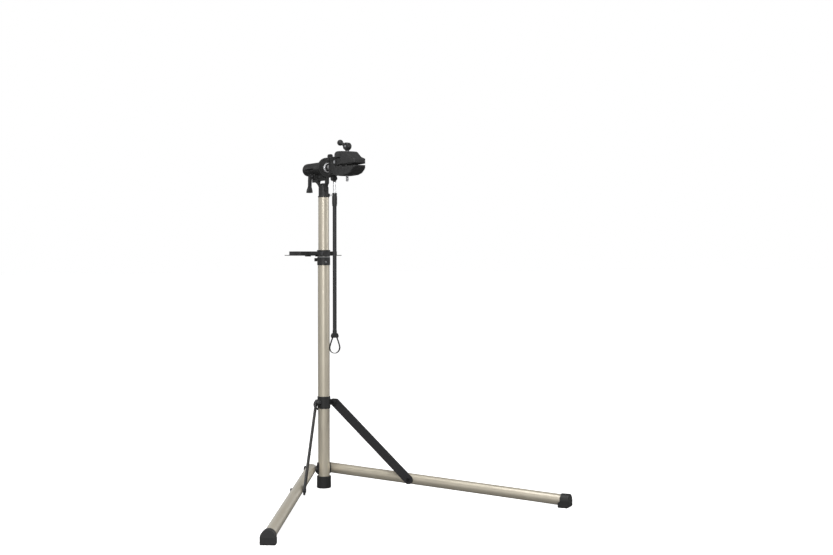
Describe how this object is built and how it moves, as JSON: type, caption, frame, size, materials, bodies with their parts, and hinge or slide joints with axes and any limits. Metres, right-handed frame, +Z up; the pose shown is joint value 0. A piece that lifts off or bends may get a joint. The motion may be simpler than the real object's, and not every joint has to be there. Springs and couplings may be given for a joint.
{
  "type": "bike repair stand",
  "caption": "Telescopic bike repair stand with folding braced legs, a sliding tool tray, a turning clamp head with a crank, and a telescopic handlebar rod.",
  "frame": {"origin": "on the floor, at the centre of the mast foot cap's underside, on the mast's axis", "axes": "+Z up the mast, +X the way the clamp jaws point with the clamp level, +Y to the stand's left"},
  "size_m": [0.7465, 0.9392, 1.0308],
  "materials": {
    "champagne_tube": "satin champagne anodised or powder coat",
    "black_plastic": "satin moulded",
    "black_paint": "satin black paint",
    "zinc_hardware": "zinc plated",
    "black_hardware": "black zinc plated",
    "bright_steel": "bright plated",
    "grey_nylon": "satin",
    "black_rubber": "matt",
    "strap_webbing": "woven webbing"
  },
  "bodies": {
    "base": {"lower_mast_tube": "champagne_tube", "mast_foot_cap": "black_plastic", "leg_bracket": "black_plastic", "bracket_bolt": "zinc_hardware", "leg_pivot_bolts": "zinc_hardware", "pivot_caps": "black_plastic", "height_collar": "black_plastic", "height_collar_bush": "grey_nylon", "height_skewer": "zinc_hardware", "height_collar_screw": "zinc_hardware"},
    "height_lever": {"height_lever": "black_plastic"},
    "brace_collar": {"brace_collar": "black_plastic", "brace_skewer": "zinc_hardware", "brace_collar_bolts": "black_hardware"},
    "brace_collar_lever": {"brace_collar_lever": "black_plastic"},
    "leg_left": {"leg_tube_left": "champagne_tube", "leg_plug_left": "black_plastic", "foot_cap_left": "black_plastic", "brace_nut_left": "black_hardware"},
    "leg_right": {"leg_tube_right": "champagne_tube", "leg_plug_right": "black_plastic", "foot_cap_right": "black_plastic", "brace_nut_right": "black_hardware"},
    "brace_left": {"brace_bar_left": "black_paint", "brace_bolt_left": "black_hardware"},
    "brace_right": {"brace_bar_right": "black_paint", "brace_bolt_right": "black_hardware"},
    "upper_mast": {"upper_mast_tube": "champagne_tube", "upper_mast_plug": "black_plastic", "head_casting": "black_plastic", "head_end_cap": "black_plastic", "head_skewer": "zinc_hardware", "head_screw": "zinc_hardware"},
    "head_lever": {"head_lever": "black_plastic"},
    "tray": {"tray_body": "black_plastic", "tray_bracket": "black_plastic", "tray_screws": "zinc_hardware", "tray_set_screw": "black_hardware"},
    "clamp_head": {"clamp_shaft": "bright_steel", "index_ring": "black_plastic", "flange_plate": "black_plastic", "plate_bolts": "zinc_hardware", "lower_jaw": "black_plastic", "lower_pad": "black_rubber", "jaw_pin": "zinc_hardware", "clamp_nut": "zinc_hardware", "hanger_bolt": "black_hardware"},
    "upper_jaw": {"upper_jaw": "black_plastic", "upper_pad": "black_rubber"},
    "screw_washer": {"thrust_washer": "zinc_hardware"},
    "crank": {"clamp_screw": "zinc_hardware", "crank_arm": "black_plastic", "crank_knob": "black_plastic", "crank_pin": "zinc_hardware"},
    "hook_rod": {"rod_inner": "bright_steel", "rod_eye": "black_plastic"},
    "rod_tube": {"rod_tube": "black_paint", "rod_yoke": "black_plastic", "strap": "strap_webbing"},
    "rod_lock": {"rod_lock_sleeve": "black_plastic"}
  },
  "joints": [
    {"name": "mast_height", "type": "slide", "parent": "base", "child": "upper_mast", "axis": [0, 0, 1], "range_m": [0, 0.385]},
    {"name": "height_lever_turn", "type": "hinge", "parent": "base", "child": "height_lever", "pos_m": [-0.02885, 0.00171, 0.683], "axis": [0, 0, -1], "range_deg": [0, 90]},
    {"name": "collar_slide", "type": "slide", "parent": "base", "child": "brace_collar", "axis": [0, 0, 1], "range_m": [0, 0.39158]},
    {"name": "collar_lever_turn", "type": "hinge", "parent": "brace_collar", "child": "brace_collar_lever", "pos_m": [-0.02885, 0.00171, 0.257], "axis": [-0.8339, 0.5519, 0], "range_deg": [0, 90]},
    {"name": "leg_fold_left", "type": "hinge", "parent": "base", "child": "leg_left", "pos_m": [-0.0218, 0.03294, 0.055], "axis": [0.5519, -0.8339, 0], "range_deg": [0, 80.77]},
    {"name": "brace_fold_left", "type": "hinge", "parent": "brace_collar", "child": "brace_left", "pos_m": [0.00981, 0.03048, 0.257], "axis": [-0.5519, 0.8339, 0], "range_deg": [0, 43.47]},
    {"name": "leg_fold_right", "type": "hinge", "parent": "base", "child": "leg_right", "pos_m": [-0.0218, -0.03294, 0.055], "axis": [-0.5519, -0.8339, 0], "range_deg": [0, 80.77]},
    {"name": "brace_fold_right", "type": "hinge", "parent": "brace_collar", "child": "brace_right", "pos_m": [0.00981, -0.03048, 0.257], "axis": [0.5519, 0.8339, 0], "range_deg": [0, 43.47]},
    {"name": "tray_height", "type": "slide", "parent": "upper_mast", "child": "tray", "axis": [0, 0, 1], "range_m": [0, 0.15]},
    {"name": "head_lever_turn", "type": "hinge", "parent": "upper_mast", "child": "head_lever", "pos_m": [-0.05, -0.018, 0.934], "axis": [-1, 0, 0], "range_deg": [0, 90]},
    {"name": "clamp_turn", "type": "hinge", "parent": "upper_mast", "child": "clamp_head", "pos_m": [0, 0, 0.956], "axis": [1, 0, 0], "continuous": true},
    {"name": "jaw_open", "type": "hinge", "parent": "clamp_head", "child": "upper_jaw", "pos_m": [0.1, 0, 0.968], "axis": [0, -1, 0], "range_deg": [0, 16]},
    {"name": "screw_lift", "type": "slide", "parent": "clamp_head", "child": "screw_washer", "axis": [0, 0, 1], "range_m": [0, 0.02]},
    {"name": "crank_turn", "type": "hinge", "parent": "screw_washer", "child": "crank", "pos_m": [0.154, 0, 1], "axis": [0, 0, 1], "range_deg": [0, 1440.1]},
    {"name": "rod_swing", "type": "hinge", "parent": "clamp_head", "child": "hook_rod", "pos_m": [0.0728, 0, 0.922], "axis": [1, 0, 0], "range_deg": [-75, 75]},
    {"name": "rod_length", "type": "slide", "parent": "hook_rod", "child": "rod_tube", "axis": [0, 0, -1], "range_m": [0, 0.3]},
    {"name": "rod_lock_twist", "type": "hinge", "parent": "rod_tube", "child": "rod_lock", "pos_m": [0.0728, 0, 0.86], "axis": [0, 0, 1], "range_deg": [0, 90]}
  ],
  "couplings": [
    {"joint": "leg_fold_left", "follows": "collar_slide", "rad_per_m": 3.5997},
    {"joint": "leg_fold_right", "follows": "collar_slide", "rad_per_m": 3.5997},
    {"joint": "brace_fold_left", "follows": "collar_slide", "rad_per_m": 1.9373},
    {"joint": "brace_fold_right", "follows": "collar_slide", "rad_per_m": 1.9373},
    {"joint": "jaw_open", "follows": "screw_lift", "rad_per_m": 13.963},
    {"joint": "crank_turn", "follows": "screw_lift", "rad_per_m": 1256.6}
  ]
}
